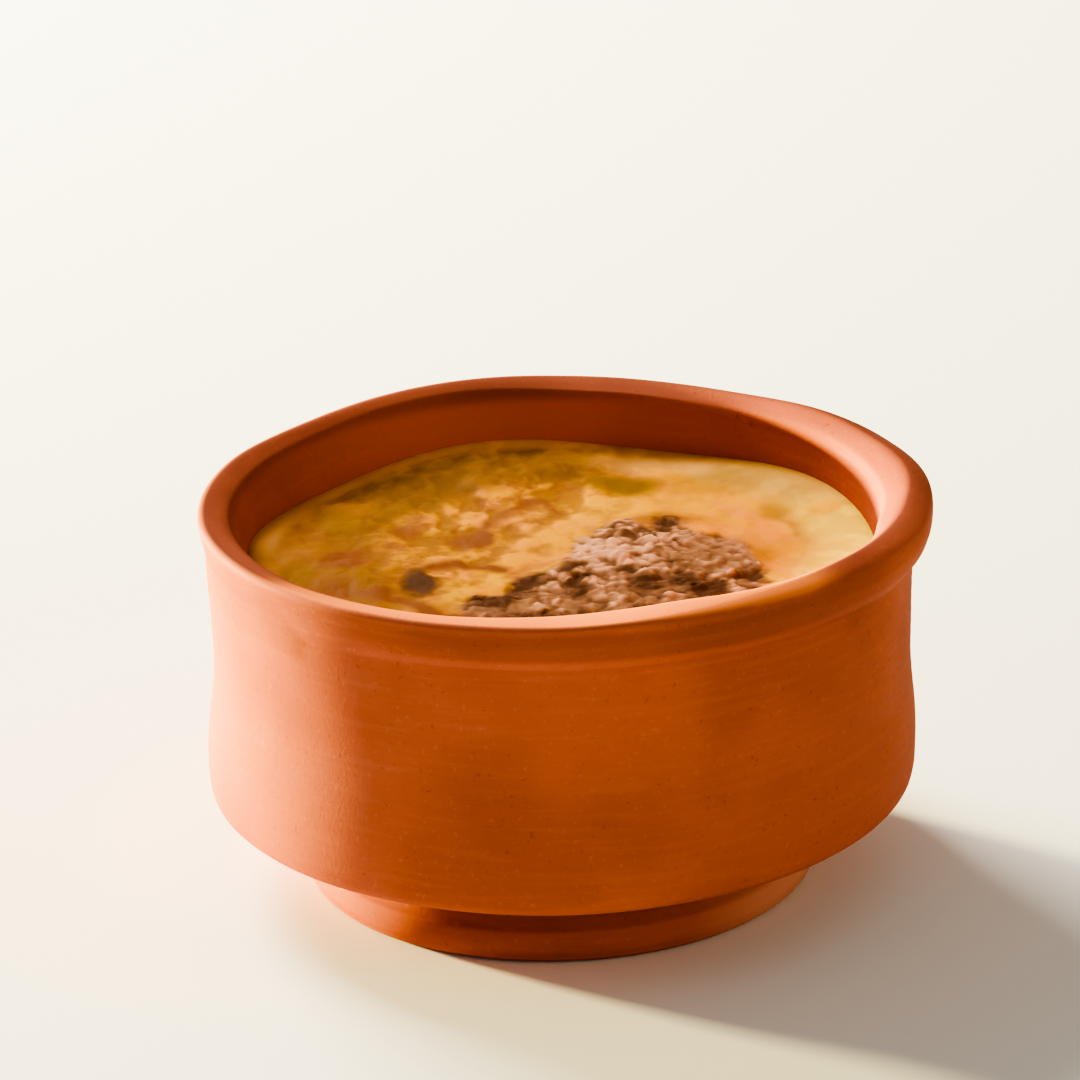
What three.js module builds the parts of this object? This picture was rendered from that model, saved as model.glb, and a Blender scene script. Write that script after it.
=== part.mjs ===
// A baked milk pudding in its hand-thrown, unglazed terracotta pot.
//
// Millimetres, +Z up. The pot stands on its foot with the foot's underside at z = 0, and the origin
// is under the middle of the rim. -Y is the front, and bearings are degrees counter-clockwise from +X.
// Both pieces are sections turned round the Z axis. A section is a list of [radius, height] points,
// and it changes slowly with the bearing, because the lip was pressed out by hand.
import * as THREE from 'three';

// ---- Driving dimensions ----
const HEIGHT = 65.6; // foot to the top of the lip
const RIM_RADIUS = 60.5; // outer face of the lip
const WAIST_RADIUS = 57.8; // narrowest part of the wall
const BELLY_RADIUS = 59.1; // widest part of the wall
const WALL = 6.1; // wall thickness at the waist
const FOOT_RADIUS = 43; // widest part of the foot ring
const FOOT_HEIGHT = 6.3; // foot ring, up to the groove
const FOOT_OFFSET = -1.8; // the pot leans: its foot is this far to the left of its rim
const FILL_HEIGHT = 55.3; // mean level of the pudding's skin
const CLEARANCE = 0.3; // between the pudding and the pot, all over

// ---- Secondary sizes of the pot ----
const WAIST_HEIGHT = 39;
const BELLY_HEIGHT = 23;
const CORNER_RADIUS = 54.8; // where the flat underside of the body turns up into the wall
const CORNER_HEIGHT = 14.4;
const GROOVE_RADIUS = 40.1; // groove between foot and body
const GROOVE_HEIGHT = 8.9;
const RECESS_RADIUS = 33; // shallow hollow under the foot
const RECESS_DEPTH = 1.2;
const FLOOR_HEIGHT = 10.6; // inside floor
const INNER_RADIUS = WAIST_RADIUS - WALL; // inside of the wall
const LIP_FACE = 6.1; // height of the lip's outer face
const LIP_BEVEL = 2.4; // height of the bevel under it
const LIP_TOP = 4.5; // width of the lip's top where it is narrowest, on the left
const LIP_TOP_GAIN = 2.3; // how much wider it is on the right
const SEGMENTS = 72; // sections round the pot

// ---- The pudding's skin ----
const FILL_RADIUS = INNER_RADIUS - 0.1 - CLEARANCE;
const SKIN_RINGS = 24; // ring n has 6n points, so the outermost has two for each section of the pot
const SCORCH_RISE = 0.5; // the scorched patch stands this far above the rest
// The patch that the oven's heat blistered and scorched: centres, half-widths, turn in degrees.
const SCORCHED = [
  { x: 14, y: -11, rx: 20, ry: 13, turn: 12 },
  { x: 4, y: -25, rx: 21, ry: 10, turn: 4 },
  { x: 16, y: 5, rx: 10, ry: 9, turn: 0 },
  { x: 27, y: -14, rx: 10, ry: 13, turn: 25 },
];
const BLISTER_TRIES = 90; // places drawn; those off the patch or crowding another are dropped
const BLISTER_SPACING = 3.4;
const LONE_BLISTERS = [
  { x: -22.2, y: -14.8, radius: 3.2, height: 0.9 },
  { x: -14.5, y: 6.5, radius: 3.4, height: 0.5 },
];

const TURN = Math.PI * 2;
const degrees = (value) => (value * Math.PI) / 180;

/** 0 below `from`, 1 above `to`, and a smooth rise between. */
function ease(value, from, to) {
  const t = Math.min(Math.max((value - from) / (to - from), 0), 1);
  return t * t * (3 - 2 * t);
}

/** 1 at `bearing`, falling to 0 at `reach` degrees to either side of it. */
function near(angle, bearing, reach) {
  return ease(Math.cos(angle - degrees(bearing)), Math.cos(degrees(reach)), 1);
}

/** Evenly spaced points on a smooth curve through `points`. */
function smooth(points, count) {
  const curve = new THREE.SplineCurve(points.map(([r, z]) => new THREE.Vector2(r, z)));
  return curve.getPoints(count).map(({ x, y }) => [x, y]);
}

/** Sideways shift of the pot's axis at height z. */
function axisShift(z) {
  return FOOT_OFFSET * (1 - z / HEIGHT);
}

// ---- The pot ----

/** How the hand-pressed lip differs at this angle. */
function lipShape(angle) {
  return {
    drop: near(angle, 0, 44), // it hangs a little lower on the right
    flare: near(angle, 194, 62), // and runs softly into the wall on the left
    width: LIP_TOP + LIP_TOP_GAIN * ease(Math.cos(angle), -0.45, 0.15)
      - 2.3 * near(angle, 318, 30), // pinched at the front right
    roll: near(angle, 20, 60), // its inner edge is rounder at the back right
    round: near(angle, 10, 72), // and so is all of its top, out to the face
    level: near(angle, 278, 72), // in front its top is nearly level
    // Its outer edge is sharp from the left to the middle of the front.
    crisp: (1 - near(angle, 75, 110)) * (1 - near(angle, 325, 50)),
    // Where it was pressed outwards or inwards.
    bulge: 0.8 * near(angle, 26, 34) + 0.4 * near(angle, 352, 34)
      - 0.5 * near(angle, 155, 40) - 0.3 * near(angle, 192, 40),
    wave: 0.75 * Math.cos(4 * (angle - degrees(109))) * ease(Math.sin(angle), 0.35, 0.8)
      + 0.5 * near(angle, 308, 42) + 0.25 * near(angle, 62, 30), // how far its top is over HEIGHT
  };
}

/** Radius of the wall's outside between the body's corner and the lip. */
function wallRadius(z, flare) {
  const belly = (BELLY_RADIUS - WAIST_RADIUS) * (1 - ease(z, BELLY_HEIGHT, WAIST_HEIGHT));
  const flared = flare * ease(z, WAIST_HEIGHT, HEIGHT - LIP_FACE);
  return WAIST_RADIUS + belly + flared;
}

/** Outside of the pot, from the axis under the foot up to the bevel under the lip. */
function outerWall(lip) {
  const bevelFoot = HEIGHT - LIP_FACE - LIP_BEVEL - 1.5 * lip.drop;
  const wallSteps = 7;
  const points = [
    [0, RECESS_DEPTH],
    [RECESS_RADIUS - 1, RECESS_DEPTH],
    [RECESS_RADIUS, 0],
    [FOOT_RADIUS - 2, 0],
    ...smooth([
      [FOOT_RADIUS - 0.7, 0.8],
      [FOOT_RADIUS, 3],
      [FOOT_RADIUS - 0.6, 5.3],
      [FOOT_RADIUS - 1.8, FOOT_HEIGHT],
      [GROOVE_RADIUS, 0.5 * (FOOT_HEIGHT + GROOVE_HEIGHT)],
      [GROOVE_RADIUS + 0.1, GROOVE_HEIGHT],
    ], 6),
    [0.5 * (GROOVE_RADIUS + CORNER_RADIUS), 0.5 * (GROOVE_HEIGHT + CORNER_HEIGHT)],
    ...smooth([
      [CORNER_RADIUS, CORNER_HEIGHT],
      [CORNER_RADIUS + 3.2, CORNER_HEIGHT + 1.8],
      [BELLY_RADIUS - 0.2, CORNER_HEIGHT + 4],
    ], 4),
  ];
  for (let i = 0; i <= wallSteps; i++) {
    const z = THREE.MathUtils.lerp(BELLY_HEIGHT, bevelFoot, i / wallSteps);
    points.push([wallRadius(z, lip.flare), z]);
  }
  return points;
}

/** The lip, from the top of the bevel over the crest and down to the inside of the wall. */
function lipSection(lip) {
  const bevelTop = HEIGHT - LIP_FACE - 0.9 * lip.drop;
  const outer = RIM_RADIUS + lip.bulge;
  const top = HEIGHT + lip.wave;
  const innerEdge = RIM_RADIUS - 1.4 - lip.width;
  return [
    [outer - 0.7 - 0.1 * lip.flare - 0.4 * lip.crisp, bevelTop],
    ...smooth([
      [outer - 0.4 * lip.crisp - 0.25 * lip.flare, top - 4.2 - 0.6 * lip.round],
      [outer - 0.3 + 0.3 * lip.crisp, top - 1.9 + 0.8 * lip.crisp - 0.9 * lip.round],
      [outer - 1.4 + 1.05 * lip.crisp, top - 0.5 + 0.25 * lip.crisp - 0.8 * lip.round],
      [outer - 3.2 + 1.8 * lip.crisp - 1.6 * lip.round, top - 0.05 * lip.round],
      [innerEdge + 0.8, top - 0.7 - 0.7 * lip.roll - 0.4 * lip.crisp + 0.65 * lip.level],
      [innerEdge, top - 1.3 - 1.6 * lip.roll - 0.3 * lip.crisp + 0.4 * lip.level],
      [0.5 * (innerEdge + INNER_RADIUS) + 0.2, top - 3.8 - lip.roll],
      [INNER_RADIUS + 0.1, HEIGHT - 7.5],
    ], 11),
  ];
}

/** Inside of the pot, from the pudding's level down to the axis. */
function innerWall() {
  return [
    [INNER_RADIUS - 0.1, FILL_HEIGHT],
    [INNER_RADIUS, 46],
    [INNER_RADIUS + 0.3, 36],
    ...smooth([
      [INNER_RADIUS + 0.2, 27],
      [INNER_RADIUS - 2.2, 19.5],
      [INNER_RADIUS - 8.5, FLOOR_HEIGHT + 3],
      [INNER_RADIUS - 18, FLOOR_HEIGHT + 0.4],
    ], 5),
    [0, FLOOR_HEIGHT],
  ];
}

function solid(position, index) {
  const geometry = new THREE.BufferGeometry();
  geometry.setAttribute('position', new THREE.Float32BufferAttribute(position, 3));
  geometry.setIndex(index);
  geometry.computeVertexNormals();
  return geometry;
}

function potGeometry() {
  const position = [axisShift(0), 0, RECESS_DEPTH, axisShift(FLOOR_HEIGHT), 0, FLOOR_HEIGHT];
  const [underside, floor] = [0, 1]; // the two points on the axis
  let rows = 0;
  for (let s = 0; s < SEGMENTS; s++) {
    const angle = (s / SEGMENTS) * TURN;
    const lip = lipShape(angle);
    const section = [...outerWall(lip), ...lipSection(lip), ...innerWall()].slice(1, -1);
    for (const [r, z] of section) {
      position.push(axisShift(z) + r * Math.cos(angle), r * Math.sin(angle), z);
    }
    rows = section.length;
  }
  const vertex = (s, row) => 2 + (s % SEGMENTS) * rows + row;
  const index = [];
  for (let s = 0; s < SEGMENTS; s++) {
    index.push(underside, vertex(s + 1, 0), vertex(s, 0));
    for (let row = 0; row < rows - 1; row++) {
      index.push(vertex(s, row), vertex(s + 1, row), vertex(s + 1, row + 1));
      index.push(vertex(s, row), vertex(s + 1, row + 1), vertex(s, row + 1));
    }
    index.push(floor, vertex(s, rows - 1), vertex(s + 1, rows - 1));
  }
  return solid(position, index);
}

// ---- The pudding ----

/** A repeatable random number from 0 to 1 for each whole number. */
function draw(n) {
  const value = Math.sin(n * 12.9898 + 4.1414) * 43758.5453;
  return value - Math.floor(value);
}

/** 1 inside the scorched patch, 0 outside it, and a soft edge between. */
function scorch(x, y) {
  let most = 0;
  for (const patch of SCORCHED) {
    const c = Math.cos(degrees(patch.turn));
    const s = Math.sin(degrees(patch.turn));
    const u = ((x - patch.x) * c + (y - patch.y) * s) / patch.rx;
    const v = ((y - patch.y) * c - (x - patch.x) * s) / patch.ry;
    most = Math.max(most, 1 - ease(Math.hypot(u, v), 0.8, 1.1));
  }
  return most;
}

/** Blisters scattered over the scorched patch, none closer than BLISTER_SPACING to another. */
function scatterBlisters() {
  const kept = [];
  for (let n = 0; n < BLISTER_TRIES; n++) {
    const x = -18 + 56 * draw(3 * n);
    const y = -38 + 54 * draw(3 * n + 1);
    const size = draw(3 * n + 2);
    const crowded = kept.some((other) => Math.hypot(other.x - x, other.y - y) < BLISTER_SPACING);
    if (scorch(x, y) > 0.6 && !crowded) kept.push({ x, y, radius: 2 + size, height: 0.7 + 0.5 * size });
  }
  return kept;
}

const BLISTERS = [...LONE_BLISTERS, ...scatterBlisters()];

/** How much higher or lower than its mean level the skin meets the pot at this angle. */
function edgeWave(angle) {
  const fromBack = angle - degrees(106);
  return 0.2 + 0.9 * Math.cos(5 * fromBack) + 0.25 * Math.cos(3 * fromBack);
}

/** Height of the skin. The point's radius is `share` of the pudding's. */
function skinHeight(x, y, share) {
  const edge = share ** 4;
  const flat = 1 - ease(share, 0.9, 1); // no blister touches the pot
  const sag = 0.35 * Math.sin(x / 9 + y / 17) + 0.3 * Math.cos(y / 8 - x / 21);
  let height = FILL_HEIGHT + edgeWave(Math.atan2(y, x)) * edge + sag * (1 - edge);
  height += SCORCH_RISE * scorch(x, y) * flat;
  for (const blister of BLISTERS) {
    const distance = Math.hypot(x - blister.x, y - blister.y) / blister.radius;
    if (distance < 1) height += blister.height * (1 - distance * distance) ** 2 * flat;
  }
  return height;
}

function puddingGeometry() {
  const position = [];
  const index = [];

  // The skin is a disc of rings with triangles of about one size.
  const shift = axisShift(FILL_HEIGHT);
  for (let ring = 0; ring <= SKIN_RINGS; ring++) {
    const share = ring / SKIN_RINGS;
    const count = Math.max(6 * ring, 1);
    for (let i = 0; i < count; i++) {
      const x = share * FILL_RADIUS * Math.cos((i / count) * TURN);
      const y = share * FILL_RADIUS * Math.sin((i / count) * TURN);
      position.push(x + shift, y, skinHeight(x, y, share));
    }
  }
  const skin = (ring, i) => (ring === 0 ? 0 : 1 + 3 * ring * (ring - 1) + (i % (6 * ring)));
  for (let ring = 1; ring <= SKIN_RINGS; ring++) {
    for (let i = 0; i < 6 * ring; i++) {
      const inner = i - Math.floor(i / ring); // each sixth of a ring has one point fewer than the next
      index.push(skin(ring - 1, inner), skin(ring, i), skin(ring, i + 1));
      if (i % ring < ring - 1) index.push(skin(ring - 1, inner), skin(ring, i + 1), skin(ring - 1, inner + 1));
    }
  }

  // The side and the bottom follow the inside of the pot, with half as many points round.
  const firstSide = position.length / 3;
  const rows = innerWall().slice(1, -1);
  for (const [r, z] of rows) {
    for (let s = 0; s < SEGMENTS; s++) {
      const angle = (s / SEGMENTS) * TURN;
      const radius = r - CLEARANCE;
      position.push(axisShift(z) + radius * Math.cos(angle), radius * Math.sin(angle), z + CLEARANCE);
    }
  }
  const bottom = position.length / 3;
  position.push(axisShift(FLOOR_HEIGHT), 0, FLOOR_HEIGHT + CLEARANCE);
  const side = (row, s) => firstSide + row * SEGMENTS + (s % SEGMENTS);
  for (let s = 0; s < SEGMENTS; s++) {
    const [left, middle, right] = [0, 1, 2].map((i) => skin(SKIN_RINGS, 2 * s + i));
    index.push(left, side(0, s), middle);
    index.push(middle, side(0, s), side(0, s + 1));
    index.push(middle, side(0, s + 1), right);
    for (let row = 0; row < rows.length - 1; row++) {
      index.push(side(row, s), side(row + 1, s), side(row + 1, s + 1));
      index.push(side(row, s), side(row + 1, s + 1), side(row, s + 1));
    }
    index.push(bottom, side(rows.length - 1, s + 1), side(rows.length - 1, s));
  }
  return solid(position, index);
}

// ---- The assembled object ----

function piece(name, geometry, color, roughness) {
  const mesh = new THREE.Mesh(geometry, new THREE.MeshStandardMaterial({ color, roughness, metalness: 0 }));
  mesh.name = name;
  return mesh;
}

const dish = new THREE.Group();
dish.add(piece('clay_pot', potGeometry(), 0xb5562f, 0.85));
dish.add(piece('pudding', puddingGeometry(), 0xd9a04a, 0.55));

export default dish;
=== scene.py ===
"""A baked milk pudding in its hand-thrown terracotta pot: fine meshes, materials, light, camera.

Shapes are worked out in millimetres with the same named sizes and rules as the CAD model, and
turned into metres when a mesh is made. Bearings are degrees counter-clockwise from +X, and the
front of the photo is -Y.
"""
import math

import bpy
import numpy as np
from mathutils import Matrix, Vector


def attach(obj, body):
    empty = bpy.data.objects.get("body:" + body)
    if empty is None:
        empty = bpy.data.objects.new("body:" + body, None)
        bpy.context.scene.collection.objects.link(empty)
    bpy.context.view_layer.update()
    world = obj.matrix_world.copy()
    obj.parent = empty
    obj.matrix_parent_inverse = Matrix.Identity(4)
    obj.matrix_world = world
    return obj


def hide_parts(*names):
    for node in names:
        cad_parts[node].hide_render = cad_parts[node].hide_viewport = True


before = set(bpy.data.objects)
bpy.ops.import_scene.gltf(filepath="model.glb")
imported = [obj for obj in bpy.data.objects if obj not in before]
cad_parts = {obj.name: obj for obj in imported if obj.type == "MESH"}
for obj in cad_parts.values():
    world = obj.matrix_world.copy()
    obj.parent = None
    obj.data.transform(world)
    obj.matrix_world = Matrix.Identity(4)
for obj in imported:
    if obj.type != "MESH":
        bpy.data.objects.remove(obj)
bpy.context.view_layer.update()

MM = 0.001
TURN = 2 * math.pi

# ---- The pot's sizes, as in the CAD model ----
HEIGHT = 65.6  # foot to the top of the lip
RIM_RADIUS = 60.5  # outer face of the lip
WAIST_RADIUS = 57.8  # narrowest part of the wall
BELLY_RADIUS = 59.1  # widest part of the wall
WALL = 6.1
FOOT_RADIUS = 43
FOOT_HEIGHT = 6.3
FOOT_OFFSET = -1.8  # the pot leans: its foot is this far to the left of its rim
FILL_HEIGHT = 55.3  # mean level of the pudding's skin
WAIST_HEIGHT = 39
BELLY_HEIGHT = 23
CORNER_RADIUS = 54.8  # where the underside of the body turns up into the wall
CORNER_HEIGHT = 14.4
GROOVE_RADIUS = 40.1  # groove between foot and body
GROOVE_HEIGHT = 8.9
RECESS_RADIUS = 33  # shallow hollow under the foot
RECESS_DEPTH = 1.2
FLOOR_HEIGHT = 10.6
INNER_RADIUS = WAIST_RADIUS - WALL
LIP_FACE = 6.1
LIP_BEVEL = 2.4
LIP_TOP = 4.5
LIP_TOP_GAIN = 2.3
LIP_PINCH = 2.3  # how much narrower the lip is at the front right

# ---- The pot's fine mesh ----
POT_BEARINGS = 360
SECTION_STEP = 0.2  # spacing of the points that a section is smoothed on
CLAY_ROUNDING = 0.26  # how far the clay's edges are rounded
RING_PITCH = 2.1  # spacing of the fine throwing rings
RING_DEPTH = 0.05
SWELL_DEPTH = 0.16  # slow unevenness left by the potter's fingers
SETBACK = 0.04  # keeps the uneven surface within the CAD model's box

# ---- The pudding's fine mesh ----
SKIN_RINGS = 150  # ring n has 6n points
SKIN_RADIUS = INNER_RADIUS + 0.25  # it reaches just into the wall
SCORCH_RISE = 0.5
SCORCHED = [  # x, y, half-widths, turn in degrees
    (14, -11, 20, 13, 12),
    (4, -25, 21, 10, 4),
    (16, 5, 10, 9, 0),
    (27, -14, 10, 13, 25),
]
BLISTER_TRIES = 90
BLISTER_SPACING = 3.4
POPPED_ABOVE = 0.6  # a blister of the patch whose draw is above this has popped
FROTH = [(2.2, 41), (1.5, 45)]  # spacing and random seed of the small blisters
FROTH_HEIGHT = 0.18  # in shares of the spacing
LONE_BLISTERS = [(-22.2, -14.8, 3.2, 0.9), (-14.5, 6.5, 3.4, 0.5)]  # x, y, radius, height


# ---- Arithmetic ----

def ease(value, start, end):
    """0 below start, 1 above end, and a smooth rise between."""
    t = np.clip((value - start) / (end - start), 0, 1)
    return t * t * (3 - 2 * t)


def near(angle, bearing, reach):
    """1 at bearing, falling to 0 at reach degrees to either side of it."""
    return ease(np.cos(angle - math.radians(bearing)), math.cos(math.radians(reach)), 1)


def lattice(ix, iy, iz, seed):
    """A repeatable random number from 0 to 1 for each whole-numbered point."""
    n = (ix * 73856093) ^ (iy * 19349663) ^ (iz * 83492791) ^ (seed * 15485863)
    n = n.astype(np.uint64) & 0xFFFFFFFF
    n = ((n ^ (n >> 15)) * 2246822519) & 0xFFFFFFFF
    n = ((n ^ (n >> 13)) * 3266489917) & 0xFFFFFFFF
    return ((n ^ (n >> 16)) & 0xFFFFFF).astype(float) / 0xFFFFFF


def noise(x, y, z=0.0, seed=1):
    """Smooth random values from -1 to 1 that change over a distance of about 1."""
    x, y, z = np.broadcast_arrays(x, y, z)
    cell = [np.floor(v).astype(np.int64) for v in (x, y, z)]
    part = [v - c for v, c in zip((x, y, z), cell)]
    fade = [p * p * p * (p * (p * 6 - 15) + 10) for p in part]
    total = 0.0
    for corner in range(8):
        step = [corner & 1, (corner >> 1) & 1, corner >> 2]
        weight = 1.0
        for f, s in zip(fade, step):
            weight = weight * (f if s else 1 - f)
        total = total + weight * lattice(*[c + s for c, s in zip(cell, step)], seed)
    return 2 * total - 1


def clouds(x, y, z=0.0, seed=1, octaves=4):
    """Noise on several scales, each half the size and strength of the one before."""
    total, strength = 0.0, 1.0
    for octave in range(octaves):
        total = total + strength * noise(x, y, z, seed + octave)
        x, y, z, strength = 2.03 * x, 2.03 * y, 2.03 * z, 0.5 * strength
    return total / (2 - 2 * strength)


def cells(x, y, seed):
    """Distance to the nearest of some scattered points, and that point's own random number."""
    nearest = np.full(x.shape, 9.0)
    number = np.zeros(x.shape)
    ix, iy = np.floor(x).astype(np.int64), np.floor(y).astype(np.int64)
    zero = np.zeros_like(ix)
    for dx in (-1, 0, 1):
        for dy in (-1, 0, 1):
            cx, cy = ix + dx, iy + dy
            px = cx + 0.1 + 0.8 * lattice(cx, cy, zero, seed)
            py = cy + 0.1 + 0.8 * lattice(cx, cy, zero, seed + 1)
            distance = np.hypot(x - px, y - py)
            closer = distance < nearest
            number = np.where(closer, lattice(cx, cy, zero, seed + 2), number)
            nearest = np.where(closer, distance, nearest)
    return nearest, number


def spot(x, y, cx, cy, rx, ry, turn=0):
    """1 in the middle of an ellipse, fading to 0 at its edge."""
    c, s = math.cos(math.radians(turn)), math.sin(math.radians(turn))
    u = ((x - cx) * c + (y - cy) * s) / rx
    v = ((y - cy) * c - (x - cx) * s) / ry
    return 1 - ease(np.hypot(u, v), 0.3, 1)


def along(x, y, points):
    """Distance to a line through points."""
    nearest = np.full(x.shape, 1e9)
    for (ax, ay), (bx, by) in zip(points, points[1:]):
        dx, dy = bx - ax, by - ay
        t = np.clip(((x - ax) * dx + (y - ay) * dy) / (dx * dx + dy * dy), 0, 1)
        nearest = np.minimum(nearest, np.hypot(x - ax - t * dx, y - ay - t * dy))
    return nearest


def axis_shift(z):
    """Sideways shift of the pot's axis at height z."""
    return FOOT_OFFSET * (1 - z / HEIGHT)


def make_mesh(name, points, faces, attributes):
    """A smooth-shaded object from points in millimetres, with one number a point for each name."""
    mesh = bpy.data.meshes.new(name)
    mesh.from_pydata((points * MM).tolist(), [], faces)
    mesh.polygons.foreach_set("use_smooth", [True] * len(mesh.polygons))
    for key, values in attributes.items():
        layer = mesh.attributes.new(key, "FLOAT", "POINT")
        layer.data.foreach_set("value", np.ascontiguousarray(values, dtype=np.float32))
    mesh.update()
    obj = bpy.data.objects.new(name, mesh)
    bpy.context.scene.collection.objects.link(obj)
    return obj


# ---- The pot ----

def curve(points, per_span):
    """Points on a smooth curve through points, which is an array (points, bearings, 2)."""
    ends = np.concatenate([points[:1], points, points[-1:]])
    t = np.linspace(0, 1, per_span, endpoint=False)[:, None, None]
    spans = []
    for a, b, c, d in zip(ends, ends[1:], ends[2:], ends[3:]):
        start, end = (c - a) / 2, (d - b) / 2
        cubic = 2 * b - 2 * c + start + end
        square = -3 * b + 3 * c - 2 * start - end
        spans.append(cubic * t**3 + square * t**2 + start * t + b)
    return np.concatenate(spans + [points[-1:]])


def wall_radius(z, flare):
    belly = (BELLY_RADIUS - WAIST_RADIUS) * (1 - ease(z, BELLY_HEIGHT, WAIST_HEIGHT))
    return WAIST_RADIUS + belly + flare * ease(z, WAIST_HEIGHT, HEIGHT - LIP_FACE)


def pot_stretches(angle):
    """The section at each bearing, from the middle of the foot round to the inside floor.

    It comes as stretches between corners: (points as (rows, bearings, 2), rows to keep).
    """
    drop = near(angle, 0, 44)
    flare = near(angle, 194, 62)
    roll = near(angle, 20, 60)
    rounded = near(angle, 10, 72)
    level = near(angle, 278, 72)
    crisp = (1 - near(angle, 75, 110)) * (1 - near(angle, 325, 50))
    width = LIP_TOP + LIP_TOP_GAIN * ease(np.cos(angle), -0.45, 0.15)
    width -= LIP_PINCH * near(angle, 318, 30)
    outer = RIM_RADIUS + 0.8 * near(angle, 26, 34) + 0.4 * near(angle, 352, 34)
    outer -= 0.5 * near(angle, 155, 40) + 0.3 * near(angle, 192, 40)
    wave = 0.75 * np.cos(4 * (angle - math.radians(109))) * ease(np.sin(angle), 0.35, 0.8)
    wave += 0.5 * near(angle, 308, 42) + 0.25 * near(angle, 62, 30)
    top = HEIGHT + wave
    edge = RIM_RADIUS - 1.4 - width
    bevel_top = HEIGHT - LIP_FACE - 0.9 * drop
    bevel_foot = HEIGHT - LIP_FACE - LIP_BEVEL - 1.5 * drop

    def at(*pairs):
        full = np.ones_like(angle)
        return np.stack([np.stack([r * full, z * full], -1) for r, z in pairs])

    hollow = at((0.4, RECESS_DEPTH), (RECESS_RADIUS - 1, RECESS_DEPTH), (RECESS_RADIUS, 0))
    ring = at((RECESS_RADIUS, 0), (FOOT_RADIUS - 2, 0), (FOOT_RADIUS - 0.7, 0.8))
    foot = curve(at(
        (FOOT_RADIUS - 0.7, 0.8), (FOOT_RADIUS, 3), (FOOT_RADIUS - 0.6, 5.3),
        (FOOT_RADIUS - 1.8, FOOT_HEIGHT),
        (GROOVE_RADIUS, 0.5 * (FOOT_HEIGHT + GROOVE_HEIGHT)),
        (GROOVE_RADIUS + 0.1, GROOVE_HEIGHT),
    ), 12)
    under = at((GROOVE_RADIUS + 0.1, GROOVE_HEIGHT), (CORNER_RADIUS, CORNER_HEIGHT))
    corner = curve(at(
        (CORNER_RADIUS, CORNER_HEIGHT), (CORNER_RADIUS + 3.2, CORNER_HEIGHT + 1.8),
        (BELLY_RADIUS - 0.2, CORNER_HEIGHT + 4), (BELLY_RADIUS, BELLY_HEIGHT),
    ), 12)
    heights = np.linspace(0, 1, 60)[:, None] * (bevel_foot - BELLY_HEIGHT) + BELLY_HEIGHT
    wall = np.stack([wall_radius(heights, flare), heights], -1)
    bevel_outer = outer - 0.7 - 0.1 * flare - 0.4 * crisp
    bevel = np.concatenate([wall[-1:], at((bevel_outer, bevel_top))])
    lip = curve(at(
        (bevel_outer, bevel_top), (outer - 0.4 * crisp - 0.25 * flare, top - 4.2 - 0.6 * rounded),
        (outer - 0.3 + 0.3 * crisp, top - 1.9 + 0.8 * crisp - 0.9 * rounded),
        (outer - 1.4 + 1.05 * crisp, top - 0.5 + 0.25 * crisp - 0.8 * rounded),
        (outer - 3.2 + 1.8 * crisp - 1.6 * rounded, top - 0.05 * rounded),
        (edge + 0.8, top - 0.7 - 0.7 * roll - 0.4 * crisp + 0.65 * level),
        (edge, top - 1.3 - 1.6 * roll - 0.3 * crisp + 0.4 * level),
        (0.5 * (edge + INNER_RADIUS) + 0.2, top - 3.8 - roll),
        (INNER_RADIUS + 0.1, HEIGHT - 7.5),
    ), 12)
    inside = at(
        (INNER_RADIUS + 0.1, HEIGHT - 7.5), (INNER_RADIUS - 0.1, FILL_HEIGHT),
        (INNER_RADIUS, 46), (INNER_RADIUS + 0.3, 36),
    )
    bowl = curve(at(
        (INNER_RADIUS + 0.3, 36), (INNER_RADIUS + 0.2, 27), (INNER_RADIUS - 2.2, 19.5),
        (INNER_RADIUS - 8.5, FLOOR_HEIGHT + 3), (INNER_RADIUS - 18, FLOOR_HEIGHT + 0.4),
        (0.4, FLOOR_HEIGHT),
    ), 8)
    return [(hollow, 10), (ring, 10), (foot, 34), (under, 18), (corner, 20), (wall, 44),
            (bevel, 7), (lip, 56), (inside, 14), (bowl, 12)]


def smooth_line(line, rounding):
    """line with its corners rounded. Both ends stay where they are."""
    reach = int(3 * rounding / SECTION_STEP)
    offsets = np.arange(-reach, reach + 1) * SECTION_STEP
    weights = np.exp(-0.5 * (offsets / rounding) ** 2)
    padded = np.pad(line, ((reach, reach), (0, 0)), mode="reflect", reflect_type="odd")
    return np.stack([np.convolve(padded[:, k], weights / weights.sum(), "valid") for k in (0, 1)], -1)


def pot_sections(angle):
    """Radius and height of every row at every bearing, as an array (bearings, rows, 2)."""
    stretches = pot_stretches(angle)
    sections = []
    for b in range(len(angle)):
        line, knots = stretches[0][0][:1, b], [0.0]
        for points, _ in stretches:
            line = np.concatenate([line, points[1:, b]])
            knots.append(np.hypot(*np.diff(line, axis=0).T).sum())
        travelled = np.concatenate([[0], np.cumsum(np.hypot(*np.diff(line, axis=0).T))])
        count = int(travelled[-1] / SECTION_STEP)
        even = np.linspace(0, travelled[-1], count)
        dense = np.stack([np.interp(even, travelled, line[:, k]) for k in (0, 1)], -1)
        dense = smooth_line(dense, CLAY_ROUNDING)
        wanted = [np.linspace(a, z, rows, endpoint=False)
                  for a, z, (_, rows) in zip(knots, knots[1:], stretches)]
        wanted = np.concatenate(wanted + [knots[-1:]])
        sections.append(np.stack([np.interp(wanted, even, dense[:, k]) for k in (0, 1)], -1))
    return np.array(sections)


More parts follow.
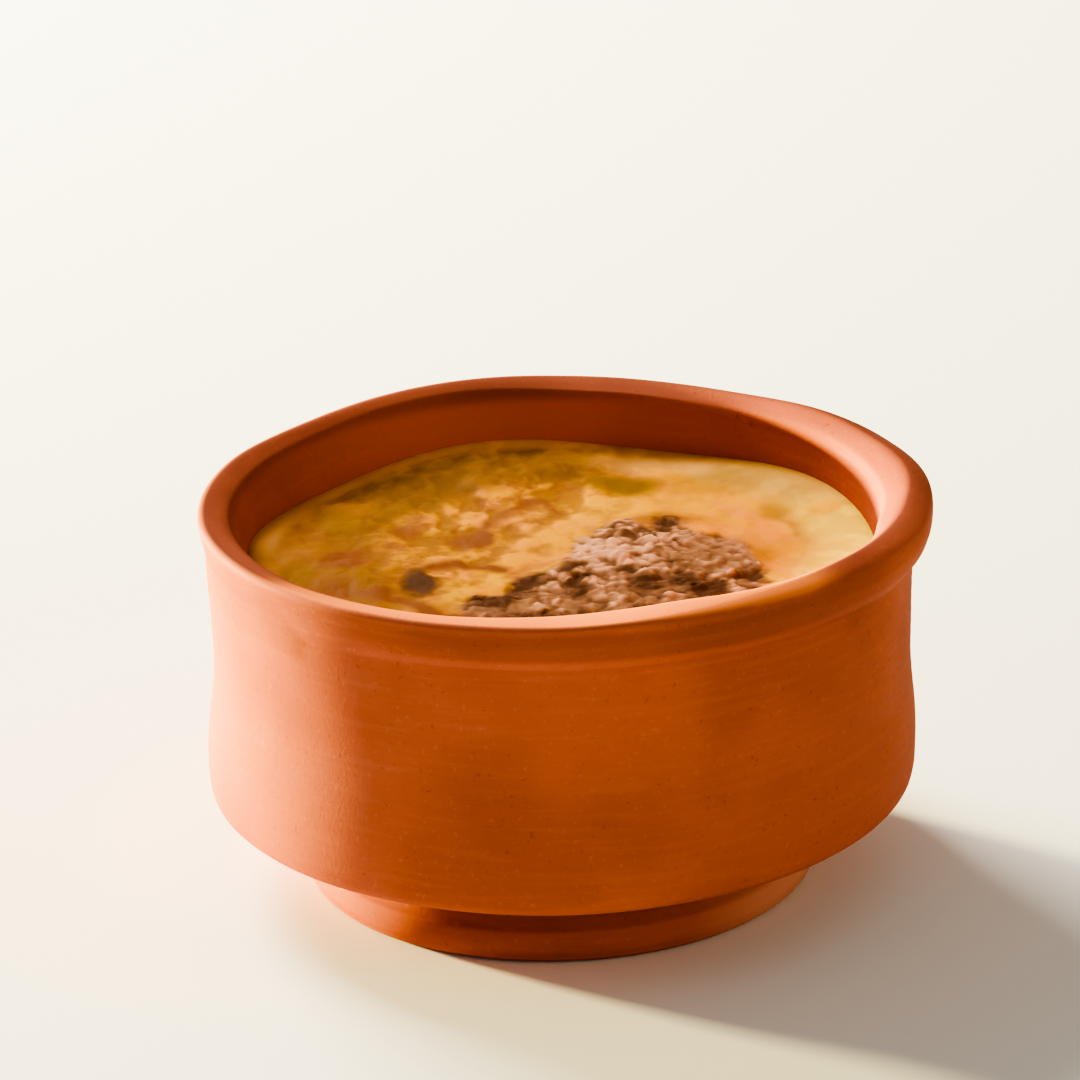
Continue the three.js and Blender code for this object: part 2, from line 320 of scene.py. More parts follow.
def pot_relief(angle, radius, height):
    """How far the clay's surface lies inside its smooth form."""
    x, y = radius * np.cos(angle), radius * np.sin(angle)
    spiral = height + RING_PITCH * angle / TURN
    phase = spiral / RING_PITCH + 0.6 * noise(x / 30, y / 30, height / 9, 11)
    rings = 0.5 + 0.5 * np.cos(TURN * phase)
    strength = 0.35 + 0.65 * ease(noise(x / 24, y / 24, height / 11, 12), -0.6, 0.6)
    swell = 0.5 + 0.5 * clouds(x / 26, y / 26, height / 8, 13, 2)
    return SETBACK + RING_DEPTH * rings * strength + SWELL_DEPTH * swell


def clay_marks(bearing, r, z, curvature):
    """Where the clay is worn, darker on the lip, or painted with shade and light, as numbers from 0
    to 1.
    """
    # The lip's top is darker on the left, and only its slope in front.
    ragged = 0.4 * clouds(r * np.cos(bearing) / 9, r * np.sin(bearing) / 9, z / 4, 15, 3)
    inwards = RIM_RADIUS - r + ragged
    in_front = ease(near(bearing, 275, 60), 0, 0.4)
    start = 0.3 + 2.6 * in_front
    dark_lip_and_shade = ease(inwards, start, start + 0.9) * ease(z, FILL_HEIGHT - 3, FILL_HEIGHT)
    dark_lip_and_shade *= 0.62 + 0.38 * in_front
    # A paler band along the middle of the lip's top, away from the front, is a painted highlight.
    dark_lip_and_shade *= 1 - 0.45 * (1 - in_front) * spot(inwards, z, 3.4, HEIGHT, 2.4, 4)
    dark_lip_and_shade *= 1 - 0.7 * (1 - in_front) * ease(HEIGHT - z, 1.4, 3.6)
    dark_lip_and_shade *= (1 - near(bearing, 20, 100)) * (1 - 0.4 * near(bearing, 135, 40))
    dark_lip_and_shade *= 1 - in_front * ease(z, HEIGHT - 1.6, HEIGHT - 0.9)
    # Painted shade on the lip's outer face in front.
    face = ease(z, HEIGHT - LIP_FACE - 1, HEIGHT - LIP_FACE + 0.5) * ease(inwards, 3, 2)
    face *= ease(HEIGHT - z, 0.8, 2) * near(bearing, 284, 60)
    dark_lip_and_shade = np.maximum(dark_lip_and_shade, 0.4 * face)
    # Painted shade: the outer half of the lip is darker on the right and at the back right, where it
    # turns from the light.
    outer_half_shade = ease(inwards, 5.4, 2.6) * ease(z, HEIGHT - 5, HEIGHT - 2)
    dark_lip_and_shade = np.maximum(dark_lip_and_shade, 0.45 * outer_half_shade * near(bearing, 42, 75))
    # Painted highlight: in front the top of the lip is painted pale.
    crest_highlight = ease(z, HEIGHT - 1.1, HEIGHT - 0.6) * ease(near(bearing, 267, 57), 0, 0.35)
    crest_highlight *= ease(inwards, 0.5, 1.3)
    # Painted light: over the pudding the wall is brighter inside, except on the left and the right.
    inside = ease(z, FILL_HEIGHT - 1, FILL_HEIGHT) * ease(HEIGHT - z, 1, 3) * ease(inwards, 5, 7)
    inside *= (1 - near(bearing, 30, 62)) * (1 - 0.9 * near(bearing, 192, 80))
    # Painted light from the floor on the right of the foot.
    foot_floor_light = ease(z, 8, 5) * near(bearing, 340, 45)  # the right of the foot
    # Concave places are darkened as painted shade; worn convex edges are paler.
    return {"worn": ease(curvature, 0.12, 0.9), "concave_shade": ease(-curvature, 0.12, 0.9),
            "dark_lip_and_shade": dark_lip_and_shade, "crest_highlight": crest_highlight, "foot_floor_light": foot_floor_light, "inside": inside}


def make_pot():
    angle = np.arange(POT_BEARINGS) / POT_BEARINGS * TURN
    sections = pot_sections(angle)
    rows = sections.shape[1]
    tangent = np.gradient(sections, axis=1)
    normal = np.stack([tangent[..., 1], -tangent[..., 0]], -1)
    normal /= np.linalg.norm(normal, axis=-1, keepdims=True) + 1e-9
    bearing = np.repeat(angle[:, None], rows, 1)
    relief = pot_relief(bearing, sections[..., 0], sections[..., 1])
    relief *= ease(sections[..., 1], 0.05, 1.2) * ease(sections[..., 0], 20, 30)
    sections = sections - normal * relief[..., None]
    r, z = sections[..., 0], sections[..., 1]
    turned = np.gradient(np.unwrap(np.arctan2(tangent[..., 1], tangent[..., 0]), axis=1), axis=1)
    curvature = turned / (np.linalg.norm(tangent, axis=-1) + 1e-6)

    points = np.stack([axis_shift(z) + r * np.cos(bearing), r * np.sin(bearing), z], -1)
    points = points.reshape(-1, 3)
    first, last = len(points), len(points) + 1
    ends = [[axis_shift(0), 0, RECESS_DEPTH], [axis_shift(FLOOR_HEIGHT), 0, FLOOR_HEIGHT]]
    points = np.concatenate([points, ends])
    faces = []
    for b in range(POT_BEARINGS):
        here, there = b * rows, (b + 1) % POT_BEARINGS * rows
        faces.append((first, there, here))
        faces.append((last, here + rows - 1, there + rows - 1))
        faces += [(here + k, there + k, there + k + 1, here + k + 1) for k in range(rows - 1)]
    marks = clay_marks(bearing, r, z, curvature)
    marks = {key: np.append(value.ravel(), [0, 0]) for key, value in marks.items()}
    return make_mesh("terracotta_pot", points, faces, marks)


# ---- The pudding ----

def draw(n):
    """A repeatable random number from 0 to 1 for each whole number."""
    value = math.sin(n * 12.9898 + 4.1414) * 43758.5453
    return value - math.floor(value)


def scorch(x, y):
    """1 inside the scorched patch, 0 outside it, and a soft edge between."""
    most = np.zeros(np.shape(x))
    for px, py, rx, ry, turn in SCORCHED:
        c, s = math.cos(math.radians(turn)), math.sin(math.radians(turn))
        u = ((x - px) * c + (y - py) * s) / rx
        v = ((y - py) * c - (x - px) * s) / ry
        most = np.maximum(most, 1 - ease(np.hypot(u, v), 0.8, 1.1))
    return most


def scatter_blisters():
    """The CAD model's blisters, by the same rule: (x, y, radius, height)."""
    kept = []
    for n in range(BLISTER_TRIES):
        x, y, size = -18 + 56 * draw(3 * n), -38 + 54 * draw(3 * n + 1), draw(3 * n + 2)
        crowded = any(math.hypot(k[0] - x, k[1] - y) < BLISTER_SPACING for k in kept)
        if scorch(x, y) > 0.6 and not crowded:
            kept.append((x, y, 2 + size, 0.7 + 0.5 * size))
    return kept


# Where the skin is scorched, and its marks, in millimetres.
SCORCH_BORDER = [
    (-15.8, -26), (-14.4, -19.6), (-9.9, -19.9), (-8.4, -11.9), (-5.9, -8.6), (-2.9, -9.6),
    (-0.9, -5.6), (2.2, -1.6), (3.8, 5.3), (7.5, 10.8), (10.6, 11.5), (14.5, 7.8), (17.7, 12.1),
    (20.7, 9.7), (22.5, 3), (26.2, 5), (29.6, 1.9), (30.9, -3.9), (32, -12.3), (33.2, -18),
    (33, -26), (26, -36), (8, -42), (-10, -38),
]
# Soft spots: x, y, half-widths, turn in degrees, strength.
BROWNED = [
    (-14.5, 7.0, 5.0, 8.6, -15, 1.0),
    (-35.5, -2, 6.0, 7.0, 10, 0.9),
    (-1, 17.5, 2.8, 4.0, 0, 0.5),
    (-30, -18, 5.5, 5.5, 20, 0.6),
    (-11, -27.5, 4.5, 3.5, 0, 0.6),
    (17, 11, 10, 6, 10, 0.5),
    (31, -5, 5, 10, 10, 0.5),
    (-27, 12, 4.5, 5, 20, 0.45),
    (-38, -16, 7, 8, 0, 0.6),
]
OLIVE = [
    (11, 30.4, 10, 7.4, -6, 1.0),
    (7, 31.5, 5, 4.5, 0, 1.0),
    (-37, 16, 5, 10, 15, 0.7),
    (-43, -8, 4.5, 7, 10, 0.7),
    (-22, -25, 6, 4, -30, 0.4),
    (35.3, 15.7, 3.6, 5, 0, 0.4),
    # The last spot carries the rim's painted shadow on to the back right.
    (25, 31, 13, 9, -10, 0.4),
]
GOLDEN = [
    (-17.9, -17.5, 4.6, 9.5, 0, 1.0),
    (-21.1, 9.4, 4.4, 8, 0, 0.8),
    (-11.2, -12.5, 4.0, 5.5, 0, 0.9),
    (4, 18, 14, 8, 0, 0.8),
    (-38, -12, 5, 5, 0, 0.6),
    (-25, -1.5, 12, 2.6, 4, 0.6),
    (44, 16, 5, 4, 0, 0.8),
]
DARKENED = [
    (-23.4, -13.2, 4.6, 9.4, 0, 1.0),
    (17.7, 10.5, 4.2, 4.4, 20, 0.9),
    (15.2, 5.8, 4.8, 3.4, 0, 0.55),
    (11.5, 3.3, 2.8, 2.8, 0, 0.5),
    (-11.2, -22, 5.8, 5.2, 15, 1.0),
    (-6.9, -16, 4.0, 7.0, -10, 1.0),
    (-4.4, -11.8, 3.0, 3.8, 0, 0.7),
    (1.1, -7.6, 3.2, 5.4, 0, 0.7),
    (2.3, -16.8, 2.5, 7.4, 0, 0.9),
    (10.1, -10.6, 3.0, 2.8, 0, 0.6),
    (13.9, -16.6, 5.0, 4.6, 15, 1.0),
    (19.4, -15.8, 6.4, 4.4, 0, 0.9),
    (23.4, -20, 5.0, 5.4, -15, 1.0),
    (30.6, -14.5, 3.4, 6.0, 0, 0.8),
    (-3.1, -28.6, 9, 2.4, 0, 1.0),
    (17, -27.5, 8, 3.0, 0, 0.8),
    (10, -34, 8, 3, 0, 0.8),
]
BEIGE = [
    (-2.3, -25.4, 6.5, 4.4, 0, 0.8),
    (7.4, -3, 7.5, 11, 0, 1.2),
    (7.8, -22.7, 5.5, 8, 0, 0.7),
    (17.2, -23, 4.4, 4.4, 0, 1.0),
    (29.2, -20.3, 4.4, 4.4, 0, 1.0),
    (16.2, -5.5, 7, 8, 0, 0.6),
    (6.2, -14.5, 4.5, 4.5, 0, 0.9),
    (-1.5, -13.5, 3.5, 4.5, 0, 0.8),
]
MURKY = [(25, -1, 10, 11, 0, 1.0), (17, 10, 9, 6, 20, 0.7), (29, -7, 7, 9, 0, 0.7)]
BROWN_LINES = [  # points, half-width, strength
    ([(-13, 11), (-10.7, 15), (-7.8, 19.9), (-4.7, 23.3), (-2.1, 22.4), (-0.6, 17.1)], 2.8, 0.6),
    ([(-21, -6.2), (-16.9, -5.1), (-12.9, -6.1), (-10, -8)], 3.0, 0.7),
    ([(-32, -17), (-27, -20.5), (-23.7, -23.5), (-20.2, -27.9), (-15, -28.6)], 2.6, 1.0),
    ([(-26, 12), (-24, 20)], 3.0, 0.35),
]
CREASE = [(32, 24), (36, 16), (39.5, 9), (40.3, 3), (40, -4), (38, -12), (34, -19)]
CREASE_EDGE = 40.4  # the crease's rightmost x; right of it the skin stayed pale
CREASE_BEND = 7.9


def marked(x, y, places):
    """The strongest of some soft spots at each point."""
    most = np.zeros(x.shape)
    for *place, strength in places:
        most = np.maximum(most, strength * spot(x, y, *place))
    return most


def edge_wave(angle):
    """How much higher or lower than its mean level the skin meets the pot at this angle."""
    from_back = angle - math.radians(106)
    return 0.2 + 0.9 * np.cos(5 * from_back) + 0.25 * np.cos(3 * from_back)


def skin_form(x, y, share):
    """Height of the skin as in the CAD model, without its blisters."""
    edge = share**4
    sag = 0.35 * np.sin(x / 9 + y / 17) + 0.3 * np.cos(y / 8 - x / 21)
    height = FILL_HEIGHT + edge_wave(np.arctan2(y, x)) * edge + sag * (1 - edge)
    return height + SCORCH_RISE * scorch(x, y) * (1 - ease(share, 0.9, 1))


def bubbles(x, y):
    """The CAD model's blisters: their height and how far they are popped, from 0 to 1."""
    domes = np.zeros(x.shape)
    popped = np.zeros(x.shape)
    for n, (bx, by, radius, height) in enumerate(LONE_BLISTERS + scatter_blisters()):
        d = np.hypot(x - bx, y - by) / radius
        domes = np.maximum(domes, height * np.clip(1 - d * d, 0, 1) ** 2)
        if n >= len(LONE_BLISTERS) and draw(n + 500) > POPPED_ABOVE:
            popped = np.maximum(popped, 1 - ease(d, 0.1, 0.45))
    return domes, popped


def scorched(x, y):
    """1 inside the border of the scorched patch, fading out across it."""
    closed = SCORCH_BORDER + SCORCH_BORDER[:1]
    inside = np.zeros(x.shape, bool)
    for (ax, ay), (bx, by) in zip(closed, closed[1:]):
        if ay != by:
            inside ^= ((ay > y) != (by > y)) & (x < ax + (bx - ax) * (y - ay) / (by - ay))
    depth = np.where(inside, 1, -1) * along(x, y, closed)
    return ease(depth + 1.7 * clouds(x / 2.6, y / 3.4, 0, 28, 3), -0.8, 1.2)


def skin_detail(x, y, share):
    """Relief of the skin over its form, and its marks as numbers from 0 to 1."""
    flat = 1 - ease(share, 0.93, 1)
    angle = np.arctan2(y, x)
    wx = x + 1.4 * clouds(x / 6, y / 8, 0, 21, 3)
    wy = y + 2.0 * clouds(x / 6, y / 8, 7, 22, 3)
    fx = x + 0.9 * clouds(x / 2.4, y / 3.0, 0, 25, 3)
    fy = y + 1.2 * clouds(x / 2.4, y / 3.0, 9, 26, 3)
    crumbs = clouds(fx / 1.6, fy / 2.1, 0, 61, 3)
    patch = scorched(wx, wy)
    lumpy = ease(-x + 0.5 * y, -16, 24)  # the left is lumpier, the right is smooth

    lumps = clouds(wx / 6, wy / 8, 0, 31, 2)
    bumps = clouds(fx / 2.7, fy / 3.6, 0, 32, 2)
    relief = (0.10 + 0.32 * lumpy) * lumps + (0.02 + 0.13 * lumpy) * bumps
    crease = along(wx, wy, CREASE)
    relief -= 0.07 * np.exp(-((crease / 0.9) ** 2)) * ease(y, -24, -8)

    # The blisters of the CAD model among a froth of smaller ones, with gaps between.
    domes, popped = bubbles(0.5 * (x + fx), 0.5 * (y + fy))
    dark = marked(0.4 * wx + 0.6 * fx + 0.8 * crumbs, 0.4 * wy + 0.6 * fy + 1.2 * crumbs, DARKENED)
    beige = marked(wx, wy, BEIGE)
    murky = marked(wx, wy, MURKY)
    froth = np.zeros(x.shape)
    crest = np.zeros(x.shape)
    gap = np.zeros(x.shape)
    small = ease(noise(x / 7, y / 8, 0, 44), -0.2, 0.3)
    for (spacing, seed), weight in zip(FROTH, (1 - small, small)):
        distance, number = cells(fx / spacing, fy / (1.2 * spacing), seed)
        dome = (1 - ease(distance, 0, 0.72)) * (0.45 + 0.75 * number)
        froth += weight * spacing * FROTH_HEIGHT * dome
        crest += weight * dome
        gap += weight * ease(distance, 0.4, 0.68)
    relief += patch * (0.6 * domes * (1 - popped) + froth + 0.2 * crumbs - 0.2 - 0.2 * dark)

    zone = clouds(x / 6, y / 7, 0, 51, 3)
    light = crest + 0.25 * domes + 0.5 * beige + 0.6 * crumbs + 0.35 * zone
    light += 0.3 * ease(y, -14, 2) - 0.3 * ease(y, -16, -24)
    pale = patch * ease(light - 1.1 * dark - 0.5 * popped, 0.3, 1.35) * (1 - 0.6 * murky)
    char = 0.55 * gap * (1 - 0.7 * murky) + dark + 0.4 * popped - 0.35 * zone - 0.65 * crumbs
    char = np.clip(char, 0, 1) * patch * (1 - 0.7 * pale)
    lone = dark * (1 - patch) * ease(dark - 0.5 * crumbs, 0, 0.6)
    char = np.maximum(char, lone)
    brown = marked(wx, wy, BROWNED)
    for points, width, strength in BROWN_LINES:
        brown = np.maximum(brown, strength * (1 - ease(along(wx, wy, points), 0, width)))
    brown = np.clip(1.3 * brown * (1 + 0.4 * bumps + 0.3 * crumbs), 0, 1)
    right = wx - CREASE_EDGE + ((wy - 1) / CREASE_BEND) ** 2
    # Painted shadow of the rim over the back of the skin, weaker at the far left and next to the
    # wall.
    reach = np.hypot(x, y) + 2 * lumps
    baked = ease(reach, 28, 36) * ease(near(angle, 145, 95), 0.1, 0.6)
    baked *= 0.85 * (1 - 0.85 * ease(-x, 26, 44)) * (1 - 0.9 * ease(share, 0.85, 0.96))
    # Painted light at the back right, and along the back-left edge, where the lip shades the skin.
    painted_back_light = 0.55 * spot(wx, wy, 19, 45, 22, 12)
    painted_edge_light = 0.7 * ease(share, 0.89, 0.95) * ease(near(angle, 128, 62), 0, 0.5)
    marks = {
        "brown": brown, "char": char, "pale": pale, "patch": patch,
        "olive": marked(wx, wy, OLIVE), "golden": marked(wx, wy, GOLDEN),
        "cream": ease(right, -5, 7) * (1 - patch), "back": ease(y, 8, 26),
        "crease": np.exp(-((crease / 1.4) ** 2)) * ease(wy, -2, 6) * ease(wy, 18, 10),
        # The hollows between the lumps are darkened as painted shade.
        "lumpy": lumpy, "hollow": ease(0.6 * lumps + 0.6 * bumps + 0.3 * crumbs, 0.4, -0.4),
        # Painted shade over the left of the skin.
        "left": ease(-0.9 * x - 0.2 * y, 9, 40),
        # The rim's painted shadow, and painted light at the back where the lip shades the skin.
        "baked": baked, "painted_back_light": np.maximum(painted_back_light, painted_edge_light),
        "rim": ease(share, 0.965, 0.995),
    }
    return relief * flat, marks


def make_pudding():
    shift = axis_shift(FILL_HEIGHT)
    ring = np.concatenate([[0]] + [np.full(6 * n, n) for n in range(1, SKIN_RINGS + 1)])
    place = np.concatenate([[0]] + [np.arange(6 * n) for n in range(1, SKIN_RINGS + 1)])
    share = ring / SKIN_RINGS
    angle = TURN * place / np.maximum(6 * ring, 1)
    x, y = share * SKIN_RADIUS * np.cos(angle), share * SKIN_RADIUS * np.sin(angle)
    relief, marks = skin_detail(x, y, share)
    z = skin_form(x, y, share) + relief
    points = np.stack([x + shift, y, z], -1)

    def skin(n, i):
        return 0 if n == 0 else 1 + 3 * n * (n - 1) + i % (6 * n)

    faces = []
    for n in range(1, SKIN_RINGS + 1):
        for i in range(6 * n):
            inner = i - i // n
            faces.append((skin(n - 1, inner), skin(n, i), skin(n, i + 1)))
            if i % n < n - 1:
                faces.append((skin(n - 1, inner), skin(n, i + 1), skin(n - 1, inner + 1)))

    # The side goes down inside the wall, and the bottom lies on the inside floor.
    around = 6 * SKIN_RINGS
    angle = TURN * np.arange(around) / around
    side = [(INNER_RADIUS + 0.3, 46), (INNER_RADIUS + 0.5, 30), (INNER_RADIUS - 1.6, 19.5),
            (INNER_RADIUS - 8, FLOOR_HEIGHT + 2.6), (INNER_RADIUS - 18, FLOOR_HEIGHT + 0.1)]
    start = len(points)
    for r, height in side:
        lower = np.stack([axis_shift(height) + r * np.cos(angle), r * np.sin(angle),
                          np.full(around, height)], -1)
        points = np.concatenate([points, lower])
    points = np.concatenate([points, [[axis_shift(FLOOR_HEIGHT), 0, FLOOR_HEIGHT + 0.05]]])
    for s in range(around):
        nxt = (s + 1) % around
        upper = [skin(SKIN_RINGS, s), skin(SKIN_RINGS, s + 1)]
        for k in range(len(side)):
            lower = [start + k * around + s, start + k * around + nxt]
            faces.append((upper[0], lower[0], lower[1], upper[1]))
            upper = lower
        faces.append((upper[1], upper[0], len(points) - 1))
    extra = len(points) - len(x)
    marks = {key: np.concatenate([np.broadcast_to(value, x.shape), np.zeros(extra)])
             for key, value in marks.items()}
    return make_mesh("browned_pudding", points, faces, marks)


# ---- Materials ----

class Tree:
    """Short calls for building one material's nodes."""

    def __init__(self, name):
        self.material = bpy.data.materials.new(name)
        self.material.use_nodes = True
        self.nodes = self.material.node_tree.nodes
        self.links = self.material.node_tree.links
        self.shader = self.nodes["Principled BSDF"]
        self.place = self.nodes.new("ShaderNodeTexCoord").outputs["Object"]

    def set(self, socket, value):
        if isinstance(value, bpy.types.NodeSocket):
            self.links.new(value, socket)
        else:
            socket.default_value = value

    def stretched(self, x, y, z):
        node = self.nodes.new("ShaderNodeMapping")
        node.inputs["Scale"].default_value = (x, y, z)
        self.links.new(self.place, node.inputs["Vector"])
        return node.outputs["Vector"]

    def noise(self, scale, detail=4.0, rough=0.55, warp=0.0, vector=None):
        node = self.nodes.new("ShaderNodeTexNoise")
        self.set(node.inputs["Vector"], vector or self.place)
        node.inputs["Scale"].default_value = scale
        node.inputs["Detail"].default_value = detail
        node.inputs["Roughness"].default_value = rough
        node.inputs["Distortion"].default_value = warp
        return node.outputs["Fac"]

    def mark(self, name):
        node = self.nodes.new("ShaderNodeAttribute")
        node.attribute_name = name
        return node.outputs["Fac"]

    def span(self, value, start, end, low=0.0, high=1.0):
        """value from start to end becomes low to high, smoothly."""
        node = self.nodes.new("ShaderNodeMapRange")
        node.interpolation_type = "SMOOTHSTEP"
        for key, number in zip(("Value", "From Min", "From Max", "To Min", "To Max"),
                               (value, start, end, low, high)):
            self.set(node.inputs[key], number)
        return node.outputs["Result"]

    def times(self, a, b):
        node = self.nodes.new("ShaderNodeMath")
        node.operation = "MULTIPLY"
        self.set(node.inputs[0], a)
        self.set(node.inputs[1], b)
        return node.outputs["Value"]

    def mix(self, share, a, b):
        node = self.nodes.new("ShaderNodeMix")
        node.data_type = "RGBA"
        for key, value in ((0, share), (6, a), (7, b)):
            if isinstance(value, tuple):
                value = (*value, 1.0)
            self.set(node.inputs[key], value)
        return node.outputs[2]

    def bump(self, height, distance, strength):
        node = self.nodes.new("ShaderNodeBump")
        self.set(node.inputs["Height"], height)
        node.inputs["Distance"].default_value = distance
        node.inputs["Strength"].default_value = strength
        return node.outputs["Normal"]


CLAY = (0.47, 0.131, 0.076)
CLAY_DEEP = (0.395, 0.108, 0.062)
CLAY_PALE = (0.58, 0.19, 0.11)
CLAY_DARK = (0.26, 0.06, 0.026)
# Painted colours follow: the darker lip with painted shade, a painted highlight on the front of the
# lip, painted light on the right of the foot, and painted light on the inside wall.
CLAY_DARK_LIP_AND_SHADE = (0.15, 0.042, 0.016)
CLAY_CREST_HIGHLIGHT = (0.86, 0.27, 0.085)
CLAY_FOOT_FLOOR_LIGHT = (0.72, 0.33, 0.22)
CLAY_INNER_LIGHT = (0.60, 0.175, 0.085)
CLAY_SPECULAR = 0.07


def terracotta():
    t = Tree("terracotta")
    streaks = t.noise(55, 3, 0.6, vector=t.stretched(1, 1, 14))
    grain = t.noise(900, 2, 0.7)
    color = t.mix(t.span(t.noise(30, 2, 0.5), 0.38, 0.64), CLAY_DEEP, CLAY)
    color = t.mix(t.span(streaks, 0.45, 0.7, 0, 0.16), color, CLAY_PALE)
    color = t.mix(t.span(grain, 0.6, 0.72, 0, 0.3), color, CLAY_PALE)
    color = t.mix(t.span(grain, 0.36, 0.26, 0, 0.45), color, CLAY_DARK)
    color = t.mix(t.times(t.mark("worn"), 0.25), color, CLAY_PALE)
    # Painted shade in the concave places.
    color = t.mix(t.times(t.mark("concave_shade"), 0.5), color, CLAY_DARK)
    # Painted light on the inside wall over the pudding.
    color = t.mix(t.times(t.mark("inside"), 0.8), color, CLAY_INNER_LIGHT)
    # The darker lip, with painted shade on the lip's outer face and on its outer half at the right.
    color = t.mix(t.times(t.mark("dark_lip_and_shade"), 0.85), color, CLAY_DARK_LIP_AND_SHADE)
    # Painted highlight along the top of the lip in front.
    color = t.mix(t.times(t.mark("crest_highlight"), 0.85), color, CLAY_CREST_HIGHLIGHT)
    # Painted light on the right of the foot.
    color = t.mix(t.times(t.mark("foot_floor_light"), 0.7), color, CLAY_FOOT_FLOOR_LIGHT)
    t.set(t.shader.inputs["Base Color"], color)
    t.set(t.shader.inputs["Roughness"], t.span(streaks, 0.35, 0.65, 0.68, 0.82))
    t.shader.inputs["Specular IOR Level"].default_value = CLAY_SPECULAR
    t.links.new(t.bump(t.noise(1500, 2, 0.6), 0.00005, 0.5), t.shader.inputs["Normal"])
    return t.material


MILK_GOLD = (0.86, 0.37, 0.022)
MILK_PEACH = (0.88, 0.335, 0.055)
MILK_CREAM = (1.0, 0.73, 0.11)
MILK_DULL = (0.68, 0.39, 0.095)
BRIGHT_GOLD = (0.92, 0.44, 0.022)
# Painted shade: the left of the skin, the rim's shadow at the back, and the hollows between the
# lumps.
LEFT_OCHRE = (0.36, 0.135, 0.02)
RIM_SHADOW_OCHRE = (0.22, 0.095, 0.008)
HOLLOW_SHADE = (0.36, 0.14, 0.018)
OLIVE_BROWN = (0.28, 0.13, 0.008)
TOASTED = (0.29, 0.09, 0.024)
TAN = (0.32, 0.148, 0.084)
BLISTER = (0.80, 0.385, 0.215)
CHARRED = (0.125, 0.046, 0.016)
# Painted light for the back of the skin, where the lip shades it.
PAINTED_LIGHT_GOLD = (0.90, 0.46, 0.15)
SKIN_SPECULAR = 0.12
SKIN_SUBSURFACE = 0.1
SUBSURFACE_RADIUS = (1.0, 0.5, 0.2)
SUBSURFACE_SCALE = 1.2 * MM


def browned_skin():
    t = Tree("browned_milk_skin")
    color = t.mix(t.span(t.noise(95, 3, 0.6, 0.4), 0.44, 0.58), MILK_GOLD, MILK_PEACH)
    pale = t.mix(t.mark("back"), MILK_CREAM, MILK_DULL)
    color = t.mix(t.mark("cream"), color, pale)
    color = t.mix(t.mark("golden"), color, BRIGHT_GOLD)
    # Painted shade over the left of the skin.
    color = t.mix(t.times(t.mark("left"), 0.95), color, LEFT_OCHRE)
    # Painted shade in the hollows between the lumps, stronger where the skin is lumpy.
    hollow = t.times(t.mark("hollow"), t.span(t.mark("lumpy"), 0, 1, 0.25, 0.95))
    color = t.mix(hollow, color, HOLLOW_SHADE)
    toast = t.times(t.span(t.noise(190, 3, 0.65, 0.6), 0.5, 0.66), t.mark("lumpy"))
    color = t.mix(t.times(toast, 0.55), color, TOASTED)
    # Painted shadow of the rim at the back of the skin.
    color = t.mix(t.mark("baked"), color, RIM_SHADOW_OCHRE)
    # Painted light at the back of the skin, where the lip shades it.
    color = t.mix(t.mark("painted_back_light"), color, PAINTED_LIGHT_GOLD)
    color = t.mix(t.mark("olive"), color, OLIVE_BROWN)
    color = t.mix(t.times(t.mark("crease"), 0.45), color, LEFT_OCHRE)
    color = t.mix(t.mark("brown"), color, TOASTED)
    color = t.mix(t.times(t.mark("patch"), 0.9), color, TAN)
    color = t.mix(t.mark("pale"), color, BLISTER)
    color = t.mix(t.mark("char"), color, CHARRED)
    color = t.mix(t.times(t.mark("rim"), 0.2), color, TOASTED)
    t.set(t.shader.inputs["Base Color"], color)
    t.set(t.shader.inputs["Roughness"], t.span(t.mark("patch"), 0, 1, 0.7, 0.82))
    t.shader.inputs["Specular IOR Level"].default_value = SKIN_SPECULAR
    t.shader.inputs["Subsurface Weight"].default_value = SKIN_SUBSURFACE
    t.shader.inputs["Subsurface Radius"].default_value = SUBSURFACE_RADIUS
    t.shader.inputs["Subsurface Scale"].default_value = SUBSURFACE_SCALE
    t.links.new(t.bump(t.noise(900, 3, 0.6, 0.4), 0.00012, 0.5), t.shader.inputs["Normal"])
    return t.material


# ---- The two pieces ----

pot = make_pot()
pot.data.materials.append(terracotta())
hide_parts("clay_pot")
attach(pot, "root")

pudding = make_pudding()
pudding.data.materials.append(browned_skin())
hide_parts("pudding")
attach(pudding, "root")

# ---- Floor, light and camera ----

FLOOR_SIZE = 12.0
FLOOR_COLOR = (0.88, 0.88, 0.87, 1)
FLOOR_ROUGHNESS = 0.85
WORLD_COLOR = (1.0, 0.95, 0.86)
WORLD_STRENGTH = 0.28
LIGHTS = [  # name, bearing, elevation, distance, size, power, color
    ("window", 147, 4.4, 3.0, (0.3, 0.09), 7.1, (1.0, 0.85, 0.38)),
    ("top_softbox", 125, 40, 1.4, (0.6, 0.6), 1.34, (1.0, 0.96, 0.82)),
    ("left_softbox", 238, 15, 1.8, (0.6, 0.4), 0.035, (0.9, 0.96, 1.0)),
    ("right_softbox", 331, 20, 1.8, (0.9, 0.5), 0.2, (1.0, 0.88, 0.5)),
]


def make_floor():
    half = FLOOR_SIZE / 2
    mesh = bpy.data.meshes.new("floor")
    corners = [(-half, -half, 0), (half, -half, 0), (half, half, 0), (-half, half, 0)]
    mesh.from_pydata(corners, [], [(0, 1, 2, 3)])
    floor = bpy.data.objects.new("floor", mesh)
    bpy.context.scene.collection.objects.link(floor)
    t = Tree("pale_floor")
    t.shader.inputs["Base Color"].default_value = FLOOR_COLOR
    t.shader.inputs["Roughness"].default_value = FLOOR_ROUGHNESS
    mesh.materials.append(t.material)


